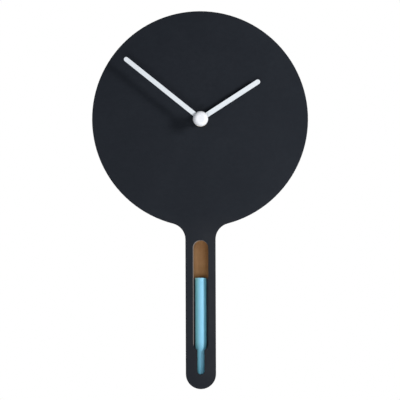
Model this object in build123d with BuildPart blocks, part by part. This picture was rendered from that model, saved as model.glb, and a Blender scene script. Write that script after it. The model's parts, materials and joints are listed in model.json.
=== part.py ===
from build123d import *
from math import acos, cos, degrees, pi, radians, sin, sqrt, tan
import os

os.makedirs("parts", exist_ok=True)

# A paddle-shaped chalkboard wall clock. The disc is the dial, and the handle below it
# holds a stick of chalk in a keyhole-shaped slot.
# The front faces -Y and +Z is up. The origin is the centre of the hanging hole, in the
# plane of the board's back. Heights (h) are measured forward from that plane, so a
# height h lies at y = -h.

# ---------------------------------------------------------------- board and panel
DISC_R = 100.0          # dial radius
TOTAL_H = 350.0         # top of the disc to the end of the handle
HANDLE_W = 28.0         # handle width
NECK_R = 15.0           # concave curve between disc and handle
AXIS_DROP = 60.0        # the hands' axis is this far below the hanging hole
BOARD_T = 16.0          # fibreboard body
PANEL_T = 1.6           # chalkboard panel glued on the front
AXIS_Z = -AXIS_DROP
HANDLE_R = HANDLE_W / 2
HANDLE_END_Z = AXIS_Z + DISC_R - TOTAL_H + HANDLE_R   # centre of the round end

# ---------------------------------------------------------------- chalk slot
SLOT_W = 14.3           # wide part of the slot in the panel
SLOT_TOP = 112.0        # top of the slot, below the hands' axis
SLOT_LOW = 207.3        # centre of the wide part's lower arc, below the axis
NARROW_W = 6.6          # narrow part that shows the chalk
NARROW_END = 236.5      # bottom of the narrow part, below the axis
CHANNEL_W = 13.8        # channel in the board, seen through the slot
CHANNEL_SHIFT = 0.32    # the glued panel leaves more of the board's face showing on one side
CHANNEL_TOP = 119.4     # centre of the channel's upper arc, below the axis
CHANNEL_LOW = 233.5     # centre of its lower arc
CHANNEL_DEPTH = 11.85   # its depth from the board's front
CHALK_R = 5.25
CHALK_X = 0.1           # the stick lies a little left of the channel's middle
CHALK_LEN = 89.5
CHALK_TOP = 147.0       # top of the stored chalk, below the axis
CHALK_GAP = 1.05        # from the chalk to the panel's back

# ---------------------------------------------------------------- movement
MOVEMENT_X = 0.4        # the movement and hands are fitted this far right of the middle
CASE_W = 56.0           # square movement case
CASE_D = 15.5           # its depth
WALL = 1.2              # case wall
POCKET_W = 58.0         # square hole in the board for the case
BUSH_R = 4.0            # threaded bushing through the panel
BUSH_BORE = 2.45
PIPE_R = 2.4            # hour pipe
PIPE_BORE = 1.55
ARBOR_R = 1.5           # minute arbor
BUSH_END = 22.0
NUT_T = 2.8
HOUR_H = 23.6           # back of the hour hand
MINUTE_H = 31.0         # back of the minute hand
HAND_T = 0.5
HOUR_W = 4.55
MINUTE_W = 4.3
HOUR_COLLET_R = 5.4     # collets behind the hands, pushed onto the pipe and the arbor
MINUTE_COLLET_R = 3.8
HOUR_LEN = 65.3
MINUTE_LEN = 90.0
HOUR_ANGLE = 57.2       # clockwise from twelve
MINUTE_ANGLE = 308.9
CAP_R = 7.05
CAP_T = 4.6             # thickness of the domed cap

# AA cell and its bay
CELL_R = 7.25
CELL_LEN = 50.5
CELL_DROP = 19.65       # cell axis below the hands' axis
CELL_H = 7.35

# heights of the wheel levels, back to front: magnet, then levels 6 to 1
WHEEL_T = 1.0
LEVEL = {7: 3.1, 6: 5.9, 5: 7.3, 4: 8.7, 3: 10.1, 2: 11.5, 1: 12.9}
INNER_FRONT = CASE_D - WALL
PIVOT_R = 0.4
PIVOT_END = INNER_FRONT + 0.6
PLATE_H = 1.7           # train plate's back
PLATE_T = 1.0

PRESSURE = radians(25)
WHEEL_ADD = 0.72        # addendum of a wheel, in modules
PINION_ADD = 0.88
DEDENDUM = 1.08
BACKLASH = 0.11         # share of the pitch


def at_axis(x, z):
    """A point given from the hands' axis."""
    return (x, AXIS_Z + z)


def polar(centre, radius, angle):
    """The point at a distance and an angle from another point."""
    turn = radians(angle)
    return (centre[0] + radius * cos(turn), centre[1] + radius * sin(turn))


def front(h):
    """The sketch plane at height h, looking at the front."""
    return Plane.XZ.offset(h)


def involute(radius, base):
    """The involute angle at a radius."""
    if radius <= base:
        return 0.0
    angle = acos(base / radius)
    return tan(angle) - angle


def gear_outline(centre, teeth, module, addendum, phase):
    """The corner points of a gear. The phase is the angle of one tooth, in radians."""
    pitch_r = teeth * module / 2
    base_r = pitch_r * cos(PRESSURE)
    tip_r = pitch_r + addendum * module
    root_r = pitch_r - DEDENDUM * module
    half = pi / (2 * teeth) * (1 - BACKLASH) + involute(pitch_r, base_r)
    start_r = max(base_r, root_r + 0.12 * module)
    radii = [start_r, (start_r + pitch_r) / 2, pitch_r, (pitch_r + tip_r) / 2, tip_r]
    radii = sorted(r for r in set(radii) if r >= start_r)
    points = []
    for index in range(teeth):
        middle = phase + 2 * pi * index / teeth
        flank = [(r, half - involute(r, base_r)) for r in radii]
        flank.insert(0, (root_r, half - involute(start_r, base_r) + 0.10 / teeth))
        for r, angle in flank:
            points.append((r, middle - angle))
        for r, angle in reversed(flank):
            points.append((r, middle + angle))
    return [(centre[0] + r * cos(a), centre[1] + r * sin(a)) for r, a in points]


def meshing_phase(first, first_teeth, first_phase, second, second_teeth):
    """The phase that puts the second gear's teeth in the first gear's gaps."""
    dx = second[0] - first[0]
    dz = second[1] - first[1]
    line = acos(dx / sqrt(dx * dx + dz * dz))
    if dz < 0:
        line = -line
    part = (line - first_phase) * first_teeth / (2 * pi)
    return line + pi - (0.5 - part) * 2 * pi / second_teeth


# ---------------------------------------------------------------- train layout
# Each axle is given from the hands' axis, placed by its distance from its neighbour.
M_ROTOR = 0.30
M_SECONDS = 0.27
M_THIRD = 0.24
M_CENTRE = 10.8 / 42.5
M_MOTION = 0.35
M_HOUR = 8.4 / 25.0
CENTRE = at_axis(0, 0)
THIRD = polar(CENTRE, 10.8, 30)
SECONDS = polar(THIRD, 10.8, 110)
MIDDLE = polar(SECONDS, 9.45, 185)
ROTOR = polar(MIDDLE, 9.0, 190)
TRANSFER = polar(CENTRE, 8.4, 200)
KNOB = polar(TRANSFER, 8.05, 150)

PH_ROTOR = 0.0
PH_MIDDLE = meshing_phase(ROTOR, 10, PH_ROTOR, MIDDLE, 50)
PH_MIDDLE_P = 0.0
PH_SECONDS = meshing_phase(MIDDLE, 10, PH_MIDDLE_P, SECONDS, 60)
PH_SECONDS_P = 0.0
PH_THIRD = meshing_phase(SECONDS, 10, PH_SECONDS_P, THIRD, 80)
PH_THIRD_P = 0.0
PH_CENTRE = meshing_phase(THIRD, 10, PH_THIRD_P, CENTRE, 75)
PH_CANNON = 0.0
PH_TRANSFER = meshing_phase(CENTRE, 12, PH_CANNON, TRANSFER, 36)
PH_KNOB = meshing_phase(TRANSFER, 36, PH_TRANSFER, KNOB, 10)
PH_TRANSFER_P = 0.0
PH_HOUR = meshing_phase(TRANSFER, 10, PH_TRANSFER_P, CENTRE, 40)

TRAIN_POSTS = [at_axis(17, 19), at_axis(-14.5, -9), at_axis(-6, 24.3), at_axis(10, -8)]
BOARD_POSTS = [at_axis(24.4, -8.4), at_axis(24.4, 9.4)]
COIL_X = -21.5
COIL_POSTS = [at_axis(COIL_X, 2.7), at_axis(COIL_X, 23.2)]


def paddle():
    """The outline of the disc and its handle, drawn on the current sketch."""
    with Locations((0, AXIS_Z)):
        Circle(DISC_R)
    mid_z = (AXIS_Z + HANDLE_END_Z) / 2
    with Locations((0, mid_z)):
        Rectangle(HANDLE_W, AXIS_Z - HANDLE_END_Z)
    with Locations((0, HANDLE_END_Z)):
        Circle(HANDLE_R)


def round_neck(sketch):
    """Round the two inner corners where the handle meets the disc."""
    corners = [v for v in sketch.vertices() if abs(abs(v.X) - HANDLE_R) < 0.01]
    corners = [v for v in corners if abs(v.Z - AXIS_Z) < DISC_R + 1]
    fillet(corners, radius=NECK_R)


# ================================================================ front panel
with BuildPart() as front_panel:
    with BuildSketch(front(BOARD_T)) as panel_face:
        paddle()
        round_neck(panel_face)
    extrude(amount=PANEL_T)
    # hole for the bushing
    with BuildSketch(front(BOARD_T)):
        with Locations((MOVEMENT_X, AXIS_Z)):
            Circle(BUSH_R + 0.3)
    extrude(amount=PANEL_T, mode=Mode.SUBTRACT)
    # keyhole-shaped slot: a wide part to lift the chalk out of, a narrow part below
    with BuildSketch(front(BOARD_T)):
        top_z = AXIS_Z - SLOT_TOP - SLOT_W / 2
        low_z = AXIS_Z - SLOT_LOW
        end_z = AXIS_Z - NARROW_END + NARROW_W / 2
        with Locations((0, (top_z + low_z) / 2)):
            SlotCenterToCenter(top_z - low_z, SLOT_W, rotation=90)
        with Locations((0, (low_z + end_z) / 2)):
            SlotCenterToCenter(low_z - end_z, NARROW_W, rotation=90)
    extrude(amount=PANEL_T, mode=Mode.SUBTRACT)
    # the front edge is eased a little
    rim = front_panel.faces().sort_by(Axis.Y)[0].outer_wire().edges()
    chamfer(rim, length=0.35)

# ================================================================ board
PLATE_W = 18.0
PLATE_LOW = -22.0
PLATE_HIGH = 26.0
PLATE_THICK = 1.5
HANG_R = 4.5
HANG_SLOT_R = 2.25
HANG_RISE = 10.0
SCREW_Z = [-16.5, 20.5]

with BuildPart() as body_board:
    with BuildSketch(front(0)) as board_face:
        paddle()
        round_neck(board_face)
    extrude(amount=BOARD_T)
    # square hole for the movement
    with BuildSketch(front(0)):
        with Locations((MOVEMENT_X, AXIS_Z)):
            RectangleRounded(POCKET_W, POCKET_W, 3)
    extrude(amount=BOARD_T, mode=Mode.SUBTRACT)
    # chalk channel, milled from the front
    with BuildSketch(front(BOARD_T - CHANNEL_DEPTH)):
        with Locations((CHANNEL_SHIFT, AXIS_Z - (CHANNEL_TOP + CHANNEL_LOW) / 2)):
            SlotCenterToCenter(CHANNEL_LOW - CHANNEL_TOP, CHANNEL_W, rotation=90)
    extrude(amount=CHANNEL_DEPTH, mode=Mode.SUBTRACT)
    # shallow seat for the hanger plate and a pocket behind it for the wall screw's head
    with BuildSketch(front(0)):
        with Locations((0, (PLATE_LOW + PLATE_HIGH) / 2)):
            RectangleRounded(PLATE_W + 0.4, PLATE_HIGH - PLATE_LOW + 0.4, 3.2)
    extrude(amount=PLATE_THICK, mode=Mode.SUBTRACT)
    with BuildSketch(front(PLATE_THICK)):
        with Locations((0, HANG_RISE / 2)):
            SlotCenterToCenter(HANG_RISE, 13, rotation=90)
    extrude(amount=6.0, mode=Mode.SUBTRACT)
    # pilot holes for the two wood screws
    with BuildSketch(front(PLATE_THICK)):
        with Locations(*[(0, z) for z in SCREW_Z]):
            Circle(1.5)
    extrude(amount=9.0, mode=Mode.SUBTRACT)
    # the back edge is eased
    back_rim = body_board.faces().sort_by(Axis.Y)[-1].outer_wire().edges()
    chamfer(back_rim, length=0.6)

# ================================================================ hanger
with BuildPart() as hanger_plate:
    with BuildSketch(front(0)):
        with Locations((0, (PLATE_LOW + PLATE_HIGH) / 2)):
            RectangleRounded(PLATE_W, PLATE_HIGH - PLATE_LOW, 3)
        Circle(HANG_R, mode=Mode.SUBTRACT)
        with Locations((0, HANG_RISE / 2)):
            SlotCenterToCenter(HANG_RISE, 2 * HANG_SLOT_R, rotation=90, mode=Mode.SUBTRACT)
    extrude(amount=PLATE_THICK)
    # countersunk screw holes
    for z in SCREW_Z:
        with BuildSketch(front(0)):
            with Locations((0, z)):
                Circle(3.0)
        with BuildSketch(front(PLATE_THICK)):
            with Locations((0, z)):
                Circle(1.5)
        loft(mode=Mode.SUBTRACT)

with BuildPart() as hanger_screws:
    for z in SCREW_Z:
        with BuildSketch(front(0)):
            with Locations((0, z)):
                Circle(3.0)
        with BuildSketch(front(PLATE_THICK)):
            with Locations((0, z)):
                Circle(1.5)
        loft()
        with BuildSketch(front(PLATE_THICK)):
            with Locations((0, z)):
                Circle(1.5)
        extrude(amount=8.0)
        with BuildSketch(front(PLATE_THICK + 8.0)):
            with Locations((0, z)):
                Circle(1.5)
        with BuildSketch(front(PLATE_THICK + 9.0)):
            with Locations((0, z)):
                Circle(0.3)
        loft()
        # cross recess
        with BuildSketch(front(0)):
            with Locations((0, z)):
                Rectangle(3.2, 0.7)
                Rectangle(0.7, 3.2)
        extrude(amount=0.9, mode=Mode.SUBTRACT)

PAD_R = 5.0
PAD_T = 1.5
PAD_AT = [(-72, AXIS_Z), (72, AXIS_Z), (0, HANDLE_END_Z)]

with BuildPart() as wall_pads:
    with BuildSketch(front(-PAD_T)):
        with Locations(*PAD_AT):
            Circle(PAD_R)
    extrude(amount=PAD_T)
    pad_edges = wall_pads.faces().sort_by(Axis.Y)[-3:].edges()
    fillet(pad_edges, radius=0.4)

# ================================================================ chalk
with BuildPart() as chalk_stick:
    chalk_bottom = AXIS_Z - CHALK_TOP - CHALK_LEN
    chalk_h = BOARD_T - CHALK_R - CHALK_GAP
    with BuildSketch(Plane.XY.offset(chalk_bottom)):
        with Locations((CHALK_X, -chalk_h)):
            Circle(CHALK_R)
    extrude(amount=CHALK_LEN)
    chamfer(chalk_stick.faces().sort_by(Axis.Z)[0].edges(), length=0.4)
    fillet(chalk_stick.faces().sort_by(Axis.Z)[-1].edges(), radius=0.35)

# ================================================================ movement case
BAY_LOW = -CELL_DROP - 7.55
BAY_HIGH = -CELL_DROP + 7.55
SHELF_TOP = BAY_HIGH + 0.8      # top of the wall between cell and wheels
INNER = CASE_W / 2 - WALL

with BuildPart() as case_front:
    with BuildSketch(front(0)):
        with Locations((0, AXIS_Z)):
            RectangleRounded(CASE_W, CASE_W, 2.5)
    extrude(amount=CASE_D)
    # wheel compartment, open at the back
    with BuildSketch(front(0)):
        with Locations((0, AXIS_Z + (SHELF_TOP + INNER) / 2)):
            Rectangle(2 * INNER, INNER - SHELF_TOP)
    extrude(amount=INNER_FRONT, mode=Mode.SUBTRACT)
    # the cover's seat
    with BuildSketch(front(0)):
        with Locations((0, AXIS_Z + (SHELF_TOP + 40) / 2)):
            Rectangle(CASE_W + 2, 40 - SHELF_TOP)
    extrude(amount=WALL, mode=Mode.SUBTRACT)
    # cell bay, open at the back
    with BuildSketch(front(0)):
        with Locations((0, AXIS_Z - CELL_DROP)):
            Rectangle(2 * INNER, BAY_HIGH - BAY_LOW)
    extrude(amount=CELL_H + CELL_R + 0.15, mode=Mode.SUBTRACT)
    # thumb notch in the bay's lower wall
    with BuildSketch(front(0)):
        with Locations((0, AXIS_Z - CASE_W / 2)):
            Rectangle(18, 4)
    extrude(amount=5.0, mode=Mode.SUBTRACT)
    # two small gaps in the shelf for the contact strips
    with BuildSketch(front(0)):
        with Locations(*[(s * (INNER - 0.4), AXIS_Z + SHELF_TOP - 0.4) for s in (-1, 1)]):
            Rectangle(0.8, 1.6)
    extrude(amount=11.0, mode=Mode.SUBTRACT)
    # posts that carry the train plate, the circuit board and the coil core
    with BuildSketch(front(PLATE_H + PLATE_T)):
        with Locations(*TRAIN_POSTS):
            Circle(1.5)
    extrude(amount=INNER_FRONT - PLATE_H - PLATE_T)
    with BuildSketch(front(3.8)):
        with Locations(*BOARD_POSTS):
            Circle(1.2)
    extrude(amount=INNER_FRONT - 3.8)
    with BuildSketch(front(5.7)):
        with Locations(*COIL_POSTS):
            Circle(1.2)
    extrude(amount=INNER_FRONT - 5.7)
    # stud that the transfer wheel turns on
    with BuildSketch(front(LEVEL[2])):
        with Locations(TRANSFER):
            Circle(0.7)
    extrude(amount=INNER_FRONT - LEVEL[2])
    # blind pivot holes
    with BuildSketch(front(INNER_FRONT)):
        with Locations(THIRD, SECONDS, MIDDLE, ROTOR, KNOB):
            Circle(PIVOT_R + 0.04)
    extrude(amount=0.7, mode=Mode.SUBTRACT)
    # bushing
    with BuildSketch(front(CASE_D)):
        with Locations((0, AXIS_Z)):
            Circle(BUSH_R)
    extrude(amount=BUSH_END - CASE_D)
    with BuildSketch(front(INNER_FRONT - 0.1)):
        with Locations((0, AXIS_Z)):
            Circle(BUSH_BORE)
    extrude(amount=BUSH_END - INNER_FRONT + 0.2, mode=Mode.SUBTRACT)

with BuildPart() as case_back:
    with BuildSketch(front(0)) as cover_face:
        with Locations((0, AXIS_Z)):
            RectangleRounded(CASE_W, CASE_W, 2.5)
        with Locations((0, AXIS_Z + SHELF_TOP - 30)):
            Rectangle(CASE_W + 2, 60, mode=Mode.SUBTRACT)
        with Locations(KNOB):
            Circle(4.7, mode=Mode.SUBTRACT)
    extrude(amount=WALL)
    # a curved arrow sunk beside the knob shows which way it turns
    with BuildSketch(front(0)):
        with BuildLine():
            RadiusArc(polar(KNOB, 6.0, 20), polar(KNOB, 6.0, 110), -6.0)
            Line(polar(KNOB, 6.0, 110), polar(KNOB, 6.6, 110))
            RadiusArc(polar(KNOB, 6.6, 110), polar(KNOB, 6.6, 20), 6.6)
            Line(polar(KNOB, 6.6, 20), polar(KNOB, 6.0, 20))
        make_face()
        Polygon(polar(KNOB, 5.1, 108), polar(KNOB, 7.5, 108), polar(KNOB, 6.3, 126), align=None)
    extrude(amount=0.3, mode=Mode.SUBTRACT)

with BuildPart() as train_plate:
    plate_points = [
        (-17.6, -10.7), (11.6, -10.7), (13.2, -6.0), (13.2, 13.0), (19.0, 16.5),
        (19.0, 21.2), (8.0, 25.4), (-8.5, 26.2), (-17.6, 17.5),
    ]
    with BuildSketch(front(PLATE_H)):
        with BuildLine():
            Polyline(*[at_axis(x, z) for x, z in plate_points], close=True)
        make_face()
        with Locations(THIRD, SECONDS, MIDDLE, ROTOR):
            Circle(PIVOT_R + 0.04, mode=Mode.SUBTRACT)
        with Locations(CENTRE):
            Circle(0.54, mode=Mode.SUBTRACT)
        with Locations(KNOB):
            Circle(1.24, mode=Mode.SUBTRACT)
    extrude(amount=PLATE_T)

# ================================================================ wheels
def disc(centre, radius, low, high):
    """A round length of an arbor on the current part."""
    with BuildSketch(front(low)) as face:
        with Locations(centre):
            Circle(radius)
    extrude(face.sketch, amount=high - low)


def toothed(centre, teeth, module, addendum, phase, low, high):
    """A toothed length of an arbor on the current part."""
    outline = gear_outline(centre, teeth, module, addendum, phase)
    with BuildSketch(front(low)) as face:
        Polygon(*outline, align=None)
    extrude(face.sketch, amount=high - low)


with BuildPart() as rotor:
    disc(ROTOR, PIVOT_R, PLATE_H + 0.1, LEVEL[7])
    disc(ROTOR, 0.8, LEVEL[7], LEVEL[6] - 0.4)
    toothed(ROTOR, 10, M_ROTOR, PINION_ADD, PH_ROTOR, LEVEL[6] - 0.4, LEVEL[6] + 1.2)
    disc(ROTOR, 0.8, LEVEL[6] + 1.2, INNER_FRONT - 0.3)
    disc(ROTOR, PIVOT_R, INNER_FRONT - 0.3, PIVOT_END)

with BuildPart() as rotor_magnet:
    disc(ROTOR, 3.0, LEVEL[7], LEVEL[6] - 0.4)
    with BuildSketch(front(LEVEL[7])):
        with Locations(ROTOR):
            Circle(0.8)
    extrude(amount=LEVEL[6] - 0.4 - LEVEL[7], mode=Mode.SUBTRACT)

with BuildPart() as intermediate_wheel:
    disc(MIDDLE, PIVOT_R, PLATE_H + 0.1, PLATE_H + PLATE_T + 0.2)
    disc(MIDDLE, 0.8, PLATE_H + PLATE_T + 0.2, LEVEL[6])
    toothed(MIDDLE, 50, M_ROTOR, WHEEL_ADD, PH_MIDDLE, LEVEL[6], LEVEL[6] + WHEEL_T)
    toothed(MIDDLE, 10, M_SECONDS, PINION_ADD, PH_MIDDLE_P, LEVEL[6] + WHEEL_T, LEVEL[5] + 1.2)
    disc(MIDDLE, 0.8, LEVEL[5] + 1.2, INNER_FRONT - 0.3)
    disc(MIDDLE, PIVOT_R, INNER_FRONT - 0.3, PIVOT_END)

with BuildPart() as seconds_wheel:
    disc(SECONDS, PIVOT_R, PLATE_H + 0.1, PLATE_H + PLATE_T + 0.2)
    disc(SECONDS, 0.8, PLATE_H + PLATE_T + 0.2, LEVEL[5])
    toothed(SECONDS, 60, M_SECONDS, WHEEL_ADD, PH_SECONDS, LEVEL[5], LEVEL[5] + WHEEL_T)
    toothed(SECONDS, 10, M_THIRD, PINION_ADD, PH_SECONDS_P, LEVEL[5] + WHEEL_T, LEVEL[4] + 1.2)
    disc(SECONDS, 0.8, LEVEL[4] + 1.2, INNER_FRONT - 0.3)
    disc(SECONDS, PIVOT_R, INNER_FRONT - 0.3, PIVOT_END)

with BuildPart() as third_wheel:
    disc(THIRD, PIVOT_R, PLATE_H + 0.1, PLATE_H + PLATE_T + 0.2)
    disc(THIRD, 0.8, PLATE_H + PLATE_T + 0.2, LEVEL[4])
    toothed(THIRD, 80, M_THIRD, WHEEL_ADD, PH_THIRD, LEVEL[4], LEVEL[4] + WHEEL_T)
    toothed(THIRD, 10, M_CENTRE, PINION_ADD, PH_THIRD_P, LEVEL[4] + WHEEL_T, LEVEL[3] + 1.2)
    disc(THIRD, 0.8, LEVEL[3] + 1.2, INNER_FRONT - 0.3)
    disc(THIRD, PIVOT_R, INNER_FRONT - 0.3, PIVOT_END)

# the centre wheel slips on the minute arbor when the hands are set
SEAT_R = 1.15
with BuildPart() as centre_wheel:
    toothed(CENTRE, 75, M_CENTRE, WHEEL_ADD, PH_CENTRE, LEVEL[3], LEVEL[3] + WHEEL_T)
    with BuildSketch(front(LEVEL[3])):
        with Locations(CENTRE):
            Circle(SEAT_R + 0.05)
    extrude(amount=WHEEL_T, mode=Mode.SUBTRACT)

with BuildPart() as minute_arbor:
    disc(CENTRE, 0.5, PLATE_H + 0.1, PLATE_H + PLATE_T + 0.3)
    disc(CENTRE, 0.65, PLATE_H + PLATE_T + 0.3, LEVEL[3] - 0.1)
    disc(CENTRE, SEAT_R, LEVEL[3] - 0.1, LEVEL[2] - 0.2)
    toothed(CENTRE, 12, M_MOTION, PINION_ADD, PH_CANNON, LEVEL[2] - 0.2, LEVEL[2] + 1.2)
    disc(CENTRE, ARBOR_R, LEVEL[2] + 1.2, MINUTE_H + HAND_T)
    disc(CENTRE, 1.0, MINUTE_H + HAND_T, MINUTE_H + HAND_T + 1.5)

with BuildPart() as transfer_wheel:
    toothed(TRANSFER, 36, M_MOTION, WHEEL_ADD, PH_TRANSFER, LEVEL[2], LEVEL[2] + WHEEL_T)
    toothed(TRANSFER, 10, M_HOUR, PINION_ADD, PH_TRANSFER_P, LEVEL[2] + WHEEL_T, LEVEL[1] + 1.2)
    with BuildSketch(front(LEVEL[2])):
        with Locations(TRANSFER):
            Circle(0.75)
    extrude(amount=WHEEL_T + 2.0, mode=Mode.SUBTRACT)

with BuildPart() as hour_wheel:
    toothed(CENTRE, 40, M_HOUR, WHEEL_ADD, PH_HOUR, LEVEL[1], LEVEL[1] + WHEEL_T)
    disc(CENTRE, PIPE_R, LEVEL[1] + WHEEL_T, HOUR_H + HAND_T)
    with BuildSketch(front(LEVEL[1])):
        with Locations(CENTRE):
            Circle(PIPE_BORE)
    extrude(amount=HOUR_H + HAND_T - LEVEL[1], mode=Mode.SUBTRACT)

with BuildPart() as set_knob:
    disc(KNOB, 4.2, 0.2, 1.5)
    with BuildSketch(front(0.2)):
        with Locations(KNOB):
            with PolarLocations(4.2, 18):
                Circle(0.28)
    extrude(amount=1.3, mode=Mode.SUBTRACT)
    disc(KNOB, 1.2, 1.5, LEVEL[2] - 0.2)
    toothed(KNOB, 10, M_MOTION, PINION_ADD, PH_KNOB, LEVEL[2] - 0.2, LEVEL[2] + 1.2)
    disc(KNOB, 0.8, LEVEL[2] + 1.2, INNER_FRONT - 0.3)
    disc(KNOB, PIVOT_R, INNER_FRONT - 0.3, PIVOT_END)

# ================================================================ motor and circuit
STATOR_H = 3.9
CORE_H = 4.7
COIL_LOW = 4.5
COIL_HIGH = 21.5

with BuildPart() as stator:
    lower_arm = [(-23.4, 1.1), (-18.5, 1.1), (-11.0, 8.4), (-16.8, 11.5), (-17.7, 4.3), (-23.4, 4.3)]
    upper_arm = [(-23.4, 21.7), (-17.7, 21.7), (-16.8, 14.5), (-10.2, 18.2), (-18.2, 25.0), (-23.4, 25.0)]
    with BuildSketch(front(STATOR_H)):
        for arm in (lower_arm, upper_arm):
            with BuildLine():
                Polyline(*[at_axis(x, z) for x, z in arm], close=True)
            make_face()
        with Locations(ROTOR):
            Circle(5.6)
            Circle(3.5, mode=Mode.SUBTRACT)
    extrude(amount=CORE_H - STATOR_H)

with BuildPart() as coil_core:
    with BuildSketch(front(CORE_H)):
        with Locations(at_axis(COIL_X, 13.0)):
            Rectangle(3.0, 23.6)
    extrude(amount=1.0)

COIL_H = CORE_H + 0.5
with BuildPart() as coil_bobbin:
    for low, high, radius in ((COIL_LOW, COIL_LOW + 1, 3.3), (COIL_HIGH - 1, COIL_HIGH, 3.3),
                              (COIL_LOW + 1, COIL_HIGH - 1, 2.1)):
        with BuildSketch(Plane.XY.offset(AXIS_Z + low)):
            with Locations((COIL_X, -COIL_H)):
                Circle(radius)
                Rectangle(3.0, 1.0, mode=Mode.SUBTRACT)
        extrude(amount=high - low)

with BuildPart() as coil_winding:
    with BuildSketch(Plane.XY.offset(AXIS_Z + COIL_LOW + 1)):
        with Locations((COIL_X, -COIL_H)):
            Circle(3.0)
            Circle(2.1, mode=Mode.SUBTRACT)
    extrude(amount=COIL_HIGH - COIL_LOW - 2)

PCB_H = 3.0
with BuildPart() as circuit_board:
    with BuildSketch(front(PCB_H)):
        with Locations(at_axis(20.15, 0.25)):
            Rectangle(12.3, 22.5)
    extrude(amount=0.8)
    # drop of resin over the chip
    with BuildSketch(front(PCB_H + 0.8)):
        with Locations(at_axis(19.0, 3.0)):
            Circle(3.0)
    extrude(amount=0.9, taper=30)

with BuildPart() as quartz_crystal:
    with BuildSketch(Plane.XY.offset(AXIS_Z - 9.0)):
        with Locations((17.0, -(PCB_H + 0.8 + 1.0))):
            Circle(1.0)
    extrude(amount=6.0)

# ================================================================ cell and contacts
with BuildPart() as battery_cell:
    with BuildSketch(Plane.YZ.offset(-CELL_LEN / 2)):
        with Locations((-CELL_H, AXIS_Z - CELL_DROP)):
            Circle(CELL_R)
    extrude(amount=CELL_LEN - 1.4)
    fillet(battery_cell.edges().filter_by(GeomType.CIRCLE), radius=0.5)
    with BuildSketch(Plane.YZ.offset(CELL_LEN / 2 - 1.4)):
        with Locations((-CELL_H, AXIS_Z - CELL_DROP)):
            Circle(2.7)
    extrude(amount=1.4)


def strip(points, thickness):
    """The outline of a bent strip along a row of points."""
    left = []
    right = []
    for index, (x, z) in enumerate(points):
        before = points[max(index - 1, 0)]
        after = points[min(index + 1, len(points) - 1)]
        dx = after[0] - before[0]
        dz = after[1] - before[1]
        size = sqrt(dx * dx + dz * dz)
        nx = -dz / size * thickness / 2
        nz = dx / size * thickness / 2
        left.append((x + nx, z + nz))
        right.append((x - nx, z - nz))
    return left + right[::-1]


with BuildPart() as contact_positive:
    # flat blade at the cell's raised end, running up past the shelf to the circuit board
    positive = [(26.45, -24.5), (26.45, -10.5)]
    button = [(26.3, -22.5), (25.5, -21.0), (25.5, -18.3), (26.3, -16.8)]
    with BuildSketch(front(4.4)):
        with BuildLine():
            Polyline(*[at_axis(x, z) for x, z in strip(positive, 0.3)], close=True)
        make_face()
        with BuildLine():
            Polyline(*[at_axis(x, z) for x, z in strip(button, 0.3)], close=True)
        make_face()
    extrude(amount=6.0)
    with BuildSketch(front(PCB_H)):
        with Locations(at_axis(26.45, -9.6)):
            Rectangle(0.3, 3.4)
    extrude(amount=7.4)

with BuildPart() as contact_negative:
    # spring leaf at the cell's flat end, with a rail along the shelf to the circuit board
    leaf = [(-26.45, -10.9), (-26.45, -15.0), (-25.55, -19.6), (-26.2, -24.5)]
    with BuildSketch(front(4.4)):
        with BuildLine():
            Polyline(*[at_axis(x, z) for x, z in strip(leaf, 0.3)], close=True)
        make_face()
    extrude(amount=6.0)
    with BuildSketch(front(PCB_H)):
        with Locations(at_axis((-26.6 + 16.0) / 2, SHELF_TOP + 0.15)):
            Rectangle(16.0 + 26.6, 0.3)
    extrude(amount=2.2)

# ================================================================ fixing hardware
with BuildPart() as rubber_washer:
    with BuildSketch(front(CASE_D)):
        with Locations((0, AXIS_Z)):
            Circle(9)
            Circle(BUSH_R, mode=Mode.SUBTRACT)
    extrude(amount=BOARD_T - CASE_D)

with BuildPart() as flat_washer:
    with BuildSketch(front(BOARD_T + PANEL_T)):
        with Locations((0, AXIS_Z)):
            Circle(6.9)
            Circle(BUSH_R, mode=Mode.SUBTRACT)
    extrude(amount=0.4)

NUT_H = BOARD_T + PANEL_T + 0.4
with BuildPart() as fixing_nut:
    with BuildSketch(front(NUT_H)):
        with Locations((0, AXIS_Z)):
            RegularPolygon(6.0, 6, major_radius=False)
            Circle(BUSH_R, mode=Mode.SUBTRACT)
    extrude(amount=NUT_T)

# ================================================================ hands
def hand_bar(angle, length, width, ring_r):
    """A straight hand with a round tip and a ring round the axis."""
    with Locations((0, AXIS_Z)):
        Circle(ring_r)
    turn = radians(90 - angle)
    middle = (length - width / 2) / 2
    spot = (middle * cos(turn), AXIS_Z + middle * sin(turn))
    with Locations(spot):
        SlotCenterToCenter(2 * middle, width, rotation=90 - angle)


with BuildPart() as hour_hand:
    with BuildSketch(front(HOUR_H)):
        hand_bar(HOUR_ANGLE, HOUR_LEN, HOUR_W, HOUR_COLLET_R + 0.3)
    extrude(amount=HAND_T)
    fillet(hour_hand.faces().sort_by(Axis.Y)[0].outer_wire().edges(), radius=0.15)
    disc(CENTRE, HOUR_COLLET_R, BUSH_END + 0.5, HOUR_H)
    with BuildSketch(front(BUSH_END + 0.5)):
        with Locations(CENTRE):
            Circle(PIPE_R)
    extrude(amount=HOUR_H + HAND_T - BUSH_END - 0.5, mode=Mode.SUBTRACT)

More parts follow.
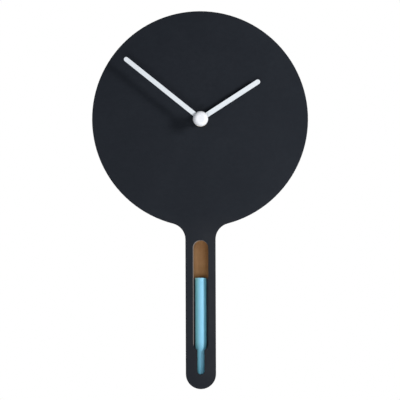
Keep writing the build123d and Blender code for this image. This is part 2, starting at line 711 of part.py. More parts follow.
with BuildPart() as minute_hand:
    with BuildSketch(front(MINUTE_H)):
        hand_bar(MINUTE_ANGLE, MINUTE_LEN, MINUTE_W, MINUTE_COLLET_R + 0.4)
    extrude(amount=HAND_T)
    fillet(minute_hand.faces().sort_by(Axis.Y)[0].outer_wire().edges(), radius=0.15)
    disc(CENTRE, MINUTE_COLLET_R, HOUR_H + HAND_T + 0.6, MINUTE_H)
    with BuildSketch(front(HOUR_H + HAND_T + 0.6)):
        with Locations(CENTRE):
            Circle(ARBOR_R)
    extrude(amount=MINUTE_H - HOUR_H - 0.6, mode=Mode.SUBTRACT)

with BuildPart() as hand_cap:
    cap_h = MINUTE_H + HAND_T
    disc(CENTRE, CAP_R, cap_h, cap_h + CAP_T)
    fillet(hand_cap.faces().sort_by(Axis.Y)[0].edges(), radius=CAP_T - 0.8)
    with BuildSketch(front(cap_h)):
        with Locations(CENTRE):
            Circle(1.0)
    extrude(amount=1.5, mode=Mode.SUBTRACT)

# ================================================================ placing
# the movement, its fixings and the hands were drawn about x = 0
movement = [
    case_front, case_back, train_plate, rotor, rotor_magnet, intermediate_wheel,
    seconds_wheel, third_wheel, centre_wheel, minute_arbor, transfer_wheel, hour_wheel,
    set_knob, stator, coil_core, coil_bobbin, coil_winding, circuit_board, quartz_crystal,
    battery_cell, contact_positive, contact_negative, rubber_washer, flat_washer,
    fixing_nut, hour_hand, minute_hand, hand_cap,
]
for piece in movement:
    piece.part.move(Location((MOVEMENT_X, 0, 0)))

# ================================================================ export
front_panel.part.label = "front_panel"
body_board.part.label = "body_board"
hanger_plate.part.label = "hanger_plate"
hanger_screws.part.label = "hanger_screws"
wall_pads.part.label = "wall_pads"
chalk_stick.part.label = "chalk_stick"
case_front.part.label = "case_front"
case_back.part.label = "case_back"
train_plate.part.label = "train_plate"
rotor.part.label = "rotor"
rotor_magnet.part.label = "rotor_magnet"
intermediate_wheel.part.label = "intermediate_wheel"
seconds_wheel.part.label = "seconds_wheel"
third_wheel.part.label = "third_wheel"
centre_wheel.part.label = "centre_wheel"
minute_arbor.part.label = "minute_arbor"
transfer_wheel.part.label = "transfer_wheel"
hour_wheel.part.label = "hour_wheel"
set_knob.part.label = "set_knob"
stator.part.label = "stator"
coil_core.part.label = "coil_core"
coil_bobbin.part.label = "coil_bobbin"
coil_winding.part.label = "coil_winding"
circuit_board.part.label = "circuit_board"
quartz_crystal.part.label = "quartz_crystal"
battery_cell.part.label = "battery_cell"
contact_positive.part.label = "contact_positive"
contact_negative.part.label = "contact_negative"
rubber_washer.part.label = "rubber_washer"
flat_washer.part.label = "flat_washer"
fixing_nut.part.label = "fixing_nut"
hour_hand.part.label = "hour_hand"
minute_hand.part.label = "minute_hand"
hand_cap.part.label = "hand_cap"

export_step(front_panel.part, "parts/front_panel.step")
export_step(body_board.part, "parts/body_board.step")
export_step(hanger_plate.part, "parts/hanger_plate.step")
export_step(hanger_screws.part, "parts/hanger_screws.step")
export_step(wall_pads.part, "parts/wall_pads.step")
export_step(chalk_stick.part, "parts/chalk_stick.step")
export_step(case_front.part, "parts/case_front.step")
export_step(case_back.part, "parts/case_back.step")
export_step(train_plate.part, "parts/train_plate.step")
export_step(rotor.part, "parts/rotor.step")
export_step(rotor_magnet.part, "parts/rotor_magnet.step")
export_step(intermediate_wheel.part, "parts/intermediate_wheel.step")
export_step(seconds_wheel.part, "parts/seconds_wheel.step")
export_step(third_wheel.part, "parts/third_wheel.step")
export_step(centre_wheel.part, "parts/centre_wheel.step")
export_step(minute_arbor.part, "parts/minute_arbor.step")
export_step(transfer_wheel.part, "parts/transfer_wheel.step")
export_step(hour_wheel.part, "parts/hour_wheel.step")
export_step(set_knob.part, "parts/set_knob.step")
export_step(stator.part, "parts/stator.step")
export_step(coil_core.part, "parts/coil_core.step")
export_step(coil_bobbin.part, "parts/coil_bobbin.step")
export_step(coil_winding.part, "parts/coil_winding.step")
export_step(circuit_board.part, "parts/circuit_board.step")
export_step(quartz_crystal.part, "parts/quartz_crystal.step")
export_step(battery_cell.part, "parts/battery_cell.step")
export_step(contact_positive.part, "parts/contact_positive.step")
export_step(contact_negative.part, "parts/contact_negative.step")
export_step(rubber_washer.part, "parts/rubber_washer.step")
export_step(flat_washer.part, "parts/flat_washer.step")
export_step(fixing_nut.part, "parts/fixing_nut.step")
export_step(hour_hand.part, "parts/hour_hand.step")
export_step(minute_hand.part, "parts/minute_hand.step")
export_step(hand_cap.part, "parts/hand_cap.step")
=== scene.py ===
import json
import math

import bmesh
import bpy
from mathutils import Matrix, Vector


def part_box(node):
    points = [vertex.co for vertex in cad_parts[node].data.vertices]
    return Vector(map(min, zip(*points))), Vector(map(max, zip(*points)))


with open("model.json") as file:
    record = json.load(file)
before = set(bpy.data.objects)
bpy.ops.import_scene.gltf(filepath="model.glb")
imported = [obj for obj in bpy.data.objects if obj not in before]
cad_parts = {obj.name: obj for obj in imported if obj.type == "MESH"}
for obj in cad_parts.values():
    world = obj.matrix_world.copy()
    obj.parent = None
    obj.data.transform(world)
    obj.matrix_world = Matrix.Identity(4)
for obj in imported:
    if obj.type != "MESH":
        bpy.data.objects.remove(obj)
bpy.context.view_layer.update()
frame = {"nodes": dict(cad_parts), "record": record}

nodes = frame["nodes"]
MM = 0.001

# Places taken from the frame.
panel_low, panel_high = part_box("front_panel")
board_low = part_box("body_board")[0]
chalk_low, chalk_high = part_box("chalk_stick")
washer_low, washer_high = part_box("rubber_washer")
AXIS_Z = (washer_low.z + washer_high.z) / 2     # height of the hands' axis
FACE_Y = panel_low.y                            # the dial's plane
DISC_R = (panel_high.x - panel_low.x) / 2
HANDLE_R = 14 * MM
HANDLE_END = panel_low.z + HANDLE_R             # centre of the handle's round end

WAVE_PERIOD = 0.31416       # the wave texture's period at a scale of 1


# ------------------------------------------------------------------ node helpers
class Paint:
    """One procedural material. Positions are the frame's, in metres."""

    def __init__(self, name, color, rough, metallic=0.0, specular=0.5):
        self.mat = bpy.data.materials.new(name)
        self.mat.use_nodes = True
        self.tree = self.mat.node_tree
        self.bsdf = self.tree.nodes["Principled BSDF"]
        self.place = self.node("ShaderNodeTexCoord").outputs["Object"]
        self.bsdf.inputs["Base Color"].default_value = (*color, 1)
        self.bsdf.inputs["Roughness"].default_value = rough
        self.bsdf.inputs["Metallic"].default_value = metallic
        self.bsdf.inputs["Specular IOR Level"].default_value = specular
        self.mat.diffuse_color = (*color, 1)

    def node(self, kind, **values):
        made = self.tree.nodes.new(kind)
        for key, value in values.items():
            setattr(made, key, value)
        return made

    def join(self, source, target):
        self.tree.links.new(source, target)

    def put(self, socket, value):
        """Set a socket to a link, a number or a colour."""
        if isinstance(value, bpy.types.NodeSocket):
            self.join(value, socket)
        elif isinstance(value, tuple) and len(value) == 3 and socket.type == "RGBA":
            socket.default_value = (*value, 1)
        else:
            socket.default_value = value

    def stretch(self, scale):
        """The position, scaled by three numbers."""
        made = self.node("ShaderNodeMapping")
        self.put(made.inputs["Vector"], self.place)
        made.inputs["Scale"].default_value = scale
        return made.outputs["Vector"]

    def noise(self, size, detail=4.0, rough=0.55, place=None, distort=0.0):
        """Noise with features of about this size in metres."""
        made = self.node("ShaderNodeTexNoise")
        self.put(made.inputs["Vector"], place or self.place)
        made.inputs["Scale"].default_value = 1 / size
        made.inputs["Detail"].default_value = detail
        made.inputs["Roughness"].default_value = rough
        made.inputs["Distortion"].default_value = distort
        return made.outputs["Fac"]

    def cells(self, size, place=None):
        """Distance to the nearest of scattered points, cells of this size in metres."""
        made = self.node("ShaderNodeTexVoronoi")
        self.put(made.inputs["Vector"], place or self.place)
        made.inputs["Scale"].default_value = 1 / size
        return made.outputs["Distance"]

    def wave(self, size, direction, distort):
        """Bands across one axis, each of this size in metres."""
        made = self.node("ShaderNodeTexWave", bands_direction=direction)
        self.put(made.inputs["Vector"], self.place)
        made.inputs["Scale"].default_value = WAVE_PERIOD / size
        made.inputs["Distortion"].default_value = distort
        return made.outputs["Fac"]

    def math(self, what, a, b=0.0, clamp=False):
        made = self.node("ShaderNodeMath", operation=what, use_clamp=clamp)
        self.put(made.inputs[0], a)
        self.put(made.inputs[1], b)
        return made.outputs[0]

    def span(self, value, low, high, out_low=0.0, out_high=1.0):
        """Map a value's range onto another, clamped."""
        made = self.node("ShaderNodeMapRange")
        self.put(made.inputs["Value"], value)
        made.inputs["From Min"].default_value = low
        made.inputs["From Max"].default_value = high
        made.inputs["To Min"].default_value = out_low
        made.inputs["To Max"].default_value = out_high
        return made.outputs["Result"]

    def mix(self, factor, a, b):
        made = self.node("ShaderNodeMix", data_type="RGBA")
        self.put(made.inputs["Factor"], factor)
        self.put(made.inputs["A"], a)
        self.put(made.inputs["B"], b)
        return made.outputs["Result"]

    def split(self, vector):
        made = self.node("ShaderNodeSeparateXYZ")
        self.join(vector, made.inputs[0])
        return made.outputs

    def normal(self):
        """The true surface direction, split into three numbers."""
        return self.split(self.node("ShaderNodeNewGeometry").outputs["True Normal"])

    def length(self, a, b):
        """The length of the flat vector a, b."""
        total = self.math("ADD", self.math("MULTIPLY", a, a), self.math("MULTIPLY", b, b))
        return self.math("SQRT", total)

    def color(self, value):
        self.put(self.bsdf.inputs["Base Color"], value)

    def rough(self, value):
        self.put(self.bsdf.inputs["Roughness"], value)

    def bump(self, height, depth, strength):
        """Bump from a height of 0 to 1, depth in metres; calls add up."""
        made = self.node("ShaderNodeBump")
        made.inputs["Strength"].default_value = strength
        made.inputs["Distance"].default_value = depth
        self.put(made.inputs["Height"], height)
        target = self.bsdf.inputs["Normal"]
        if target.is_linked:
            self.join(target.links[0].from_socket, made.inputs["Normal"])
        self.join(made.outputs["Normal"], target)


# ------------------------------------------------------------------ materials
LIGHT_AT_BOTTOM = 0.10          # share of painted light at the dial's bottom
LIGHT_AT_RIGHT = 0.06        # and at its right
LIGHT_FULL_Z = -150 * MM       # height where the painted light at the bottom is full
DUST_STARTS = -148 * MM     # heights between which dust around the slot fades in
DUST_FULL = -182 * MM
DUST_THINS = -292 * MM      # heights between which it thins out again
DUST_ENDS = -306 * MM


def chalkboard():
    p = Paint("chalkboard_paint", (0.0125, 0.0160, 0.0225), 0.82, specular=0.15)
    cloud = p.noise(55 * MM, 3, 0.5, distort=0.6)
    wipe = p.noise(9 * MM, 5, 0.6, place=p.stretch((0.35, 1, 1.0)), distort=1.2)
    speck = p.noise(0.55 * MM, 2, 0.6)
    tone = p.mix(p.span(cloud, 0.35, 0.65), (0.0116, 0.0146, 0.0209), (0.0145, 0.0179, 0.0248))
    tone = p.mix(p.span(wipe, 0.52, 0.78, 0, 0.30), tone, (0.026, 0.030, 0.037))
    tone = p.mix(p.span(speck, 0.30, 0.72, 0, 0.45), tone, (0.0070, 0.0090, 0.0130))
    mottle = p.noise(3.2 * MM, 3, 0.55)
    tone = p.mix(p.span(mottle, 0.42, 0.62, 0, 0.30), tone, (0.0085, 0.0110, 0.0160))
    # painted light: the dial is painted paler towards the bottom and the right, where more light
    # falls
    parts = p.split(p.place)
    lower_right_light = p.math("ADD", p.span(parts["Z"], 0.0, LIGHT_FULL_Z, 0.0, LIGHT_AT_BOTTOM),
                     p.span(parts["X"], -10 * MM, 90 * MM, 0.0, LIGHT_AT_RIGHT))
    tone = p.mix(lower_right_light, tone, (0.0380, 0.0440, 0.0540))
    # chalk dust rubbed in around the slot, more on the right
    dust = p.math("MULTIPLY", p.span(parts["Z"], DUST_STARTS, DUST_FULL),
                  p.span(parts["X"], -9 * MM, 11 * MM, 0.20, 0.60))
    dust = p.math("MULTIPLY", dust, p.span(p.noise(14 * MM, 4, 0.6), 0.3, 0.7, 0.7, 1.15))
    dust = p.math("MULTIPLY", dust, p.span(parts["Z"], DUST_THINS, DUST_ENDS, 1.0, 0.6))
    tone = p.mix(dust, tone, (0.0310, 0.0328, 0.0380))
    # the panel's cut edges are slightly worn
    side = p.math("ABSOLUTE", p.normal()["Y"])
    worn = p.math("MULTIPLY", p.span(side, 0.95, 0.80), p.span(p.noise(1.6 * MM, 4), 0.40, 0.70))
    tone = p.mix(p.math("MULTIPLY", worn, 0.35), tone, (0.075, 0.062, 0.050))
    p.color(tone)
    p.rough(p.span(p.math("ADD", wipe, speck), 0.7, 1.3, 0.72, 0.92))
    p.bump(p.noise(1.3 * MM, 3, 0.5), 0.05 * MM, 0.35)
    p.bump(p.noise(0.28 * MM, 3, 0.6), 0.03 * MM, 0.55)
    return p.mat


CHANNEL_HALF = 8 * MM       # the chalk's channel is nearer the middle than this
CHANNEL_Y = -3 * MM         # and further forward than this
LEFT_LIGHT_STARTS = -174 * MM   # heights between which the painted light on the channel's left fades in
LEFT_LIGHT_FULL = -183 * MM
SKIN = 0.05 * MM            # depth that counts as the board's front surface
EDGE_PAINT = 5.0 * MM       # painted side walls lie nearer the outline than this
EDGE_FADE = 0.5 * MM
SPRAY_REACH = 2.6 * MM      # the overspray on the back reaches this far in


def fibreboard():
    p = Paint("brown_fibreboard", (0.30, 0.17, 0.08), 0.88, specular=0.2)
    fibre = p.noise(0.5 * MM, 6, 0.65, place=p.stretch((1, 1, 0.22)), distort=0.8)
    blotch = p.noise(7 * MM, 4, 0.55)
    fleck = p.cells(0.9 * MM, place=p.stretch((1, 1, 0.4)))
    tone = p.mix(p.span(blotch, 0.32, 0.68), (0.350, 0.184, 0.074), (0.440, 0.250, 0.112))
    tone = p.mix(p.span(fibre, 0.35, 0.68, 0, 0.55), tone, (0.265, 0.140, 0.056))
    tone = p.mix(p.span(fleck, 0.10, 0.0, 0, 0.5), tone, (0.66, 0.46, 0.27))
    parts = p.split(p.place)
    channel = p.math("MULTIPLY", p.math("LESS_THAN", parts["Y"], CHANNEL_Y),
                     p.math("LESS_THAN", p.math("ABSOLUTE", parts["X"]), CHANNEL_HALF))
    # painted light: the channel is painted paler along its left, where more light falls on it
    left_light_grain = p.noise(4 * MM, 3, 0.5, place=p.stretch((1, 1, 0.12)))
    left_light = p.math("MULTIPLY", p.span(parts["X"], 5 * MM, -4 * MM),
                    p.span(left_light_grain, 0.3, 0.7, 0.5, 1.0))
    left_light = p.math("MULTIPLY", p.math("MULTIPLY", left_light, channel),
                    p.span(parts["Z"], LEFT_LIGHT_STARTS, LEFT_LIGHT_FULL, 0.15, 0.50))
    tone = p.mix(left_light, tone, (0.76, 0.48, 0.26))
    # blue chalk dust with painted shade, dark and bluish, on the channel where the stick is stowed
    stowed_dust_and_shade = p.math("MULTIPLY", channel,
                    p.span(parts["Z"], chalk_high.z + 1 * MM, chalk_high.z - 2 * MM))
    tone = p.mix(p.math("MULTIPLY", stowed_dust_and_shade, 0.9), tone, (0.085, 0.130, 0.175))
    # grey overspray on the board's front, seen as a thin ledge beside the channel
    front = p.math("MULTIPLY", p.math("LESS_THAN", parts["Y"], board_low.y + SKIN),
                   p.math("LESS_THAN", p.normal()["Y"], -0.9))
    tone = p.mix(front, tone, (0.285, 0.250, 0.232))
    # distance inwards from the outline of the disc and the handle
    above_axis = p.math("SUBTRACT", parts["Z"], AXIS_Z)
    from_disc = p.math("SUBTRACT", DISC_R, p.length(parts["X"], above_axis))
    across = p.math("SUBTRACT", HANDLE_R, p.math("ABSOLUTE", parts["X"]))
    below_end = p.math("MINIMUM", p.math("SUBTRACT", parts["Z"], HANDLE_END), 0.0)
    from_end = p.math("SUBTRACT", HANDLE_R, p.length(below_end, parts["X"]))
    in_end = p.math("LESS_THAN", parts["Z"], HANDLE_END)
    from_handle = p.math("ADD", p.math("MULTIPLY", in_end, from_end),
                         p.math("MULTIPLY", p.math("SUBTRACT", 1.0, in_end), across))
    below_axis = p.math("SUBTRACT", AXIS_Z, parts["Z"])
    from_edge = p.math("MAXIMUM", from_disc, p.math("MINIMUM", from_handle, below_axis))
    # black paint on the outer edge, with a little overspray and chipping at the back
    face = p.math("ABSOLUTE", p.normal()["Y"])
    outer = p.math("MULTIPLY", p.span(from_edge, EDGE_PAINT + EDGE_FADE, EDGE_PAINT),
                   p.span(face, 0.6, 0.4))
    ragged = p.span(p.noise(2.2 * MM, 4), 0.3, 0.7, -1.1 * MM, 1.1 * MM)
    spray = p.math("MULTIPLY", p.span(p.math("ADD", from_edge, ragged), SPRAY_REACH, 0.3 * MM),
                   p.span(parts["Y"], -1 * MM, -0.2 * MM))
    painted = p.math("MAXIMUM", outer, spray, clamp=True)
    dark = p.mix(p.span(p.noise(1.2 * MM, 5), 0.3, 0.7),
                 (0.0125, 0.0140, 0.0175), (0.026, 0.027, 0.029))
    chip = p.math("MULTIPLY", p.span(parts["Y"], -0.9 * MM, -0.1 * MM),
                  p.span(p.noise(2.6 * MM, 5), 0.52, 0.62))
    painted = p.math("MULTIPLY", painted, p.math("SUBTRACT", 1.0, p.math("MULTIPLY", chip, 0.8)))
    p.color(p.mix(painted, tone, dark))
    p.rough(p.span(painted, 0, 1, 0.90, 0.74))
    p.bump(fibre, 0.10 * MM, 0.5)
    p.bump(p.noise(0.22 * MM, 3), 0.05 * MM, 0.5)
    return p.mat


SHADE_STARTS = 30 * MM       # heights above the stick's foot between which painted shade darkens it
SHADE_FULL = 24 * MM
FOOT_SHADE_STARTS = 12 * MM       # and painted shade darkens it further
FOOT_SHADE_FULL = 4 * MM


def chalk():
    p = Paint("blue_chalk", (0.22, 0.63, 0.86), 0.50, specular=0.5)
    cloud = p.noise(4.5 * MM, 4, 0.55, place=p.stretch((1, 1, 0.4)))
    grain = p.noise(0.35 * MM, 4, 0.7)
    scuff = p.noise(1.5 * MM, 5, 0.6, place=p.stretch((1, 1, 0.12)), distort=0.6)
    tone = p.mix(p.span(cloud, 0.3, 0.7), (0.245, 0.640, 0.885), (0.300, 0.700, 0.935))
    tone = p.mix(p.span(scuff, 0.55, 0.75, 0, 0.5), tone, (0.47, 0.73, 0.88))
    tone = p.mix(p.span(grain, 0.50, 0.75, 0, 0.35), tone, (0.17, 0.42, 0.62))
    # painted light on both flanks, more on the left, and painted shade over the lower end
    parts = p.split(p.place)
    off = p.math("SUBTRACT", parts["X"], (chalk_low.x + chalk_high.x) / 2)
    tone = p.mix(p.span(off, -1.2 * MM, -4.2 * MM), tone, (0.370, 0.940, 1.000))
    tone = p.mix(p.span(off, 2.4 * MM, 4.8 * MM), tone, (0.270, 0.800, 0.970))
    foot = chalk_low.z
    lower_shade = p.math("ADD", p.span(parts["Z"], foot + SHADE_STARTS, foot + SHADE_FULL, 0.0, 0.31),
                  p.span(parts["Z"], foot + FOOT_SHADE_STARTS, foot + FOOT_SHADE_FULL, 0.0, 0.20))
    tone = p.mix(lower_shade, tone, (0.0, 0.210, 0.310))
    # the flat ends are paler
    ends = p.math("ABSOLUTE", p.normal()["Z"])
    tone = p.mix(p.span(ends, 0.3, 0.9, 0, 0.30), tone, (0.62, 0.82, 0.92))
    p.color(tone)
    p.bump(grain, 0.06 * MM, 0.6)
    p.bump(p.cells(1.1 * MM), 0.06 * MM, 0.35)
    p.bump(scuff, 0.05 * MM, 0.5)
    return p.mat


def scaled(color, factor, lift=0.0):
    return tuple(c * factor + lift for c in color)


def enamel(name, color, rough, bright):
    """White paint or moulded plastic with faint mottling and fine scuffs."""
    p = Paint(name, color, rough, specular=0.45)
    shade = scaled(color, 0.97)
    cloud = p.noise(6 * MM, 4, 0.5)
    scuff = p.noise(1.0 * MM, 5, 0.65, place=p.stretch((1, 1, 0.3)), distort=1.5)
    tone = p.mix(p.span(cloud, 0.35, 0.65), shade, color)
    tone = p.mix(p.span(scuff, 0.62, 0.80, 0, 0.35), tone, bright)
    p.color(tone)
    p.rough(p.span(scuff, 0.3, 0.8, rough * 0.85, rough * 1.25))
    p.bump(p.noise(0.5 * MM, 3), 0.012 * MM, 0.4)
    return p.mat


def metal(name, color, dark, rough, grain=(0.08, 1, 1), size=0.5):
    """Plated, turned or stamped metal with a directional grain and tarnish."""
    p = Paint(name, color, rough, metallic=1.0)
    lines = p.noise(size * MM, 4, 0.7, place=p.stretch(grain))
    stain = p.noise(5 * MM, 5, 0.6, distort=0.5)
    marks = p.noise(1.1 * MM, 6, 0.7, place=p.stretch((1, 1, 0.07)), distort=0.3)
    tone = p.mix(p.span(stain, 0.40, 0.72, 0, 0.6), color, dark)
    tone = p.mix(p.span(lines, 0.3, 0.7, 0, 0.35), tone, dark)
    p.color(tone)
    p.rough(p.span(p.math("ADD", lines, stain), 0.7, 1.3, rough * 0.75, rough * 1.35))
    p.bump(lines, 0.012 * MM, 0.5)
    p.bump(p.span(marks, 0.62, 0.66), 0.01 * MM, 0.4)
    return p.mat


def plastic(name, color, light, rough, grain=0.35, depth=0.03):
    """Moulded plastic with a spark-eroded texture and slight scuffs."""
    p = Paint(name, color, rough, specular=0.4)
    cloud = p.noise(8 * MM, 4, 0.5)
    tone = p.mix(p.span(cloud, 0.3, 0.7), color, scaled(color, 0.88))
    scuff = p.noise(2.2 * MM, 6, 0.7, place=p.stretch((1, 1, 0.2)), distort=1.0)
    tone = p.mix(p.span(scuff, 0.60, 0.80, 0, 0.5), tone, light)
    p.color(tone)
    p.rough(p.span(scuff, 0.3, 0.8, rough * 0.9, rough * 1.2))
    p.bump(p.noise(grain * MM, 3, 0.6), depth * MM, 0.5)
    return p.mat


def rubber(name, color):
    """Black rubber with a film of dust."""
    p = Paint(name, color, 0.8, specular=0.25)
    dust = p.noise(1.6 * MM, 5, 0.65)
    p.color(p.mix(p.span(dust, 0.45, 0.75, 0, 0.5), color, scaled(color, 1.8, 0.01)))
    p.rough(p.span(dust, 0.3, 0.7, 0.7, 0.9))
    p.bump(p.noise(0.4 * MM, 3), 0.03 * MM, 0.5)
    return p.mat


def winding():
    """Copper wire, turn beside turn."""
    p = Paint("enamelled_copper", (0.55, 0.20, 0.07), 0.32, metallic=0.85)
    turns = p.wave(0.11 * MM, "Z", 0.6)
    layer = p.noise(2.5 * MM, 4, 0.6)
    tone = p.mix(p.span(layer, 0.35, 0.65), (0.42, 0.135, 0.045), (0.66, 0.27, 0.10))
    p.color(p.mix(p.span(turns, 0.0, 0.5, 0.7, 0), tone, (0.14, 0.04, 0.015)))
    p.bump(turns, 0.05 * MM, 0.8)
    return p.mat


def laminate():
    """Green circuit board with faint tracks and a drop of resin."""
    p = Paint("circuit_laminate", (0.02, 0.10, 0.04), 0.38, specular=0.5)
    tracks = p.span(p.wave(0.9 * MM, "X", 6.0), 0.42, 0.50)
    weave = p.noise(0.6 * MM, 3)
    base = p.mix(p.span(weave, 0.3, 0.7), (0.014, 0.085, 0.032), (0.022, 0.115, 0.045))
    tone = p.mix(p.math("MULTIPLY", tracks, 0.7), base, (0.045, 0.20, 0.075))
    # black resin over the chip stands proud of the board
    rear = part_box("circuit_board")[1].y
    resin = p.span(p.split(p.place)["Y"], rear - 0.86 * MM, rear - 0.95 * MM)
    p.color(p.mix(resin, tone, (0.012, 0.012, 0.013)))
    p.bump(p.math("ADD", tracks, p.math("MULTIPLY", weave, 0.3)), 0.04 * MM, 0.5)
    return p.mat


SHOULDER = 14 * MM          # the copper-coloured band's length, from the button's tip
RULE = 14.4 * MM            # middle of the thin pale line beside it
RULE_HALF = 0.35 * MM
BUTTON = 1.9 * MM           # bare metal at the positive end
CUP = 0.45 * MM             # and at the negative end


def cell_sleeve():
    """A plain AA cell: dark blue sleeve, copper-coloured shoulder, bare metal ends."""
    low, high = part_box("battery_cell")
    p = Paint("cell_sleeve", (0.02, 0.05, 0.16), 0.3, specular=0.5)
    parts = p.split(p.place)
    scuff = p.noise(1.8 * MM, 6, 0.7, place=p.stretch((0.25, 1, 1)), distort=0.8)
    blue = p.mix(p.span(p.noise(9 * MM, 3), 0.3, 0.7), (0.012, 0.034, 0.115), (0.020, 0.055, 0.170))
    band = p.math("GREATER_THAN", parts["X"], high.x - SHOULDER)
    wrap = p.mix(band, blue, (0.52, 0.235, 0.085))
    from_rule = p.math("ABSOLUTE", p.math("SUBTRACT", parts["X"], high.x - RULE))
    line = p.math("LESS_THAN", from_rule, RULE_HALF)
    wrap = p.mix(line, wrap, (0.70, 0.70, 0.68))
    bare = p.math("MAXIMUM", p.math("GREATER_THAN", parts["X"], high.x - BUTTON),
                  p.math("LESS_THAN", parts["X"], low.x + CUP))
    wrap = p.mix(p.span(scuff, 0.60, 0.78, 0, 0.4), wrap, (0.16, 0.17, 0.20))
    p.color(p.mix(bare, wrap, (0.66, 0.65, 0.62)))
    p.put(p.bsdf.inputs["Metallic"], p.math("MAXIMUM", bare, p.math("MULTIPLY", band, 0.6)))
    p.rough(p.span(scuff, 0.3, 0.75, 0.22, 0.42))
    p.bump(p.noise(2.5 * MM, 3), 0.03 * MM, 0.4)
    return p.mat


LOOKS = {
    "chalkboard": chalkboard(),
    "fibreboard": fibreboard(),
    "hanger_steel": metal("zinc_plate", (0.62, 0.62, 0.60), (0.36, 0.37, 0.38), 0.38),
    "screw_steel": metal("zinc_screws", (0.66, 0.66, 0.63), (0.40, 0.40, 0.40), 0.33,
                         (1, 1, 1), 0.8),
    "pad_rubber": rubber("pad_rubber", (0.022, 0.022, 0.023)),
    "blue_chalk": chalk(),
    "case_plastic": plastic("black_case", (0.022, 0.022, 0.024), (0.060, 0.060, 0.062), 0.48),
    "plate_plastic": plastic("white_mouldings", (0.70, 0.70, 0.66), (0.80, 0.79, 0.75), 0.42),
    "wheel_plastic": plastic("natural_wheels", (0.72, 0.69, 0.58), (0.82, 0.80, 0.72), 0.40,
                             0.6, 0.015),
    "magnet": metal("sintered_magnet", (0.10, 0.10, 0.11), (0.05, 0.05, 0.055), 0.55,
                    (1, 1, 1), 0.3),
    "arbor_brass": metal("arbor_brass", (0.72, 0.52, 0.22), (0.45, 0.30, 0.11), 0.28,
                         (1, 0.05, 1), 0.3),
    "lamination": metal("lamination", (0.42, 0.43, 0.45), (0.24, 0.25, 0.27), 0.42),
    "bobbin_plastic": plastic("bobbin", (0.74, 0.73, 0.66), (0.84, 0.83, 0.78), 0.4),
    "copper_wire": winding(),
    "board_laminate": laminate(),
    "crystal_can": metal("crystal_can", (0.66, 0.67, 0.68), (0.44, 0.45, 0.47), 0.25,
                         (1, 1, 0.05), 0.3),
    "contact_spring": metal("nickel_contacts", (0.68, 0.66, 0.60), (0.42, 0.40, 0.35), 0.27),
    "cell_wrap": cell_sleeve(),
    "washer_rubber": rubber("washer_rubber", (0.016, 0.016, 0.016)),
    "nut_brass": metal("nut_brass", (0.76, 0.57, 0.26), (0.48, 0.33, 0.13), 0.30,
                       (1, 0.06, 1), 0.3),
    "hand_white": enamel("hand_enamel", (0.782, 0.826, 0.872), 0.42, (0.84, 0.87, 0.91)),
    "cap_white": enamel("cap_plastic", (0.885, 0.900, 0.945), 0.34, (0.93, 0.94, 0.96)),
}

for sub in frame["record"]["subparts"]:
    mesh = nodes[sub["node"]].data
    mesh.materials.clear()
    mesh.materials.append(LOOKS[sub["material_slot"]])


# ------------------------------------------------------------------ floor, light, camera
FLOOR_DROP = 0.12       # from the handle's end down to the floor
FLOOR_HALF = 0.5
FLOOR_COLOR = (0.86, 0.86, 0.85)
ROOM_LIGHT = 0.20       # strength of the light from all around

scene = bpy.context.scene


def floor():
    """A plain pale square below the clock."""
    z = panel_low.z - FLOOR_DROP
    mesh = bpy.data.meshes.new("floor")
    bm = bmesh.new()
    corners = [(-1, -1), (1, -1), (1, 1), (-1, 1)]
    bm.faces.new([bm.verts.new((x * FLOOR_HALF, y * FLOOR_HALF, z)) for x, y in corners])
    bm.to_mesh(mesh)
    bm.free()
    made = bpy.data.objects.new("floor", mesh)
    scene.collection.objects.link(made)
    p = Paint("floor_look", FLOOR_COLOR, 0.9, specular=0.1)
    p.color(p.mix(p.noise(0.3, 3), FLOOR_COLOR, scaled(FLOOR_COLOR, 0.97)))
    mesh.materials.append(p.mat)


floor()

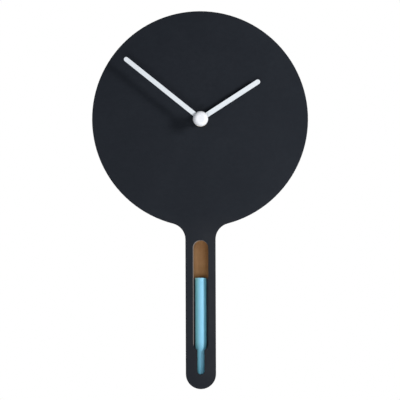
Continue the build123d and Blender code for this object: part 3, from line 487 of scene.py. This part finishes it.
# the room lights the clock faintly, and the camera sees it as plain white
world = bpy.data.worlds.new("studio")
scene.world = world
world.use_nodes = True
tree = world.node_tree
back = tree.nodes["Background"]
back.inputs["Color"].default_value = (0.93, 0.96, 1.0, 1)
back.inputs["Strength"].default_value = ROOM_LIGHT
seen = tree.nodes.new("ShaderNodeBackground")
seen.inputs["Color"].default_value = (1, 1, 1, 1)
seen.inputs["Strength"].default_value = 1.0
path = tree.nodes.new("ShaderNodeLightPath")
both = tree.nodes.new("ShaderNodeMixShader")
tree.links.new(path.outputs["Is Camera Ray"], both.inputs["Fac"])
tree.links.new(back.outputs[0], both.inputs[1])
tree.links.new(seen.outputs[0], both.inputs[2])
tree.links.new(both.outputs[0], tree.nodes["World Output"].inputs["Surface"])


def softbox(name, toward, distance, size, watts, color):
    """A rectangular light that shines at the middle of the dial from that direction."""
    data = bpy.data.lights.new(name, "AREA")
    data.shape = "RECTANGLE"
    data.size, data.size_y = size
    data.energy = watts
    data.color = color
    made = bpy.data.objects.new(name, data)
    scene.collection.objects.link(made)
    toward = Vector(toward).normalized()
    made.location = Vector((0, FACE_Y, AXIS_Z)) + toward * distance
    made.rotation_euler = (-toward).to_track_quat("-Z", "Y").to_euler()


# a small key from the right, a soft fill from the front, and a light for the back
softbox("key", (0.7863, -0.5906, 0.1815), 1.35, (0.25, 0.42), 13.8, (1.0, 0.985, 0.97))
softbox("fill", (0.06, -1.0, -0.42), 1.5, (0.8, 0.8), 8.5, (0.955, 0.975, 1.0))
softbox("rear", (-0.5, 1.0, 0.6), 1.5, (0.7, 0.7), 16.0, (1.0, 1.0, 1.0))

STEP = 0.9258 * MM      # one image step at the dial's plane
IMAGE_STEPS = 400       # the image's width
DISTANCE = 3.5          # from the camera to the dial's plane
LEFT_STEPS = 0.34       # the camera stands this far left of the board's middle
DOWN_STEPS = 80.85      # and this far below the hands' axis
ROLL = math.radians(-0.20)
SENSOR = 36.0           # in camera millimetres, like the lens

camera_data = bpy.data.cameras.new("camera")
camera_data.sensor_width = SENSOR
camera_data.lens = SENSOR * DISTANCE / (IMAGE_STEPS * STEP)
camera = bpy.data.objects.new("camera", camera_data)
scene.collection.objects.link(camera)
camera.location = (-LEFT_STEPS * STEP, FACE_Y - DISTANCE, AXIS_Z - DOWN_STEPS * STEP)
turn = Matrix.Rotation(math.radians(90), 4, "X") @ Matrix.Rotation(ROLL, 4, "Z")
camera.rotation_euler = turn.to_euler()
bpy.context.scene.camera = camera
bpy.context.scene.view_settings.view_transform = "Standard"
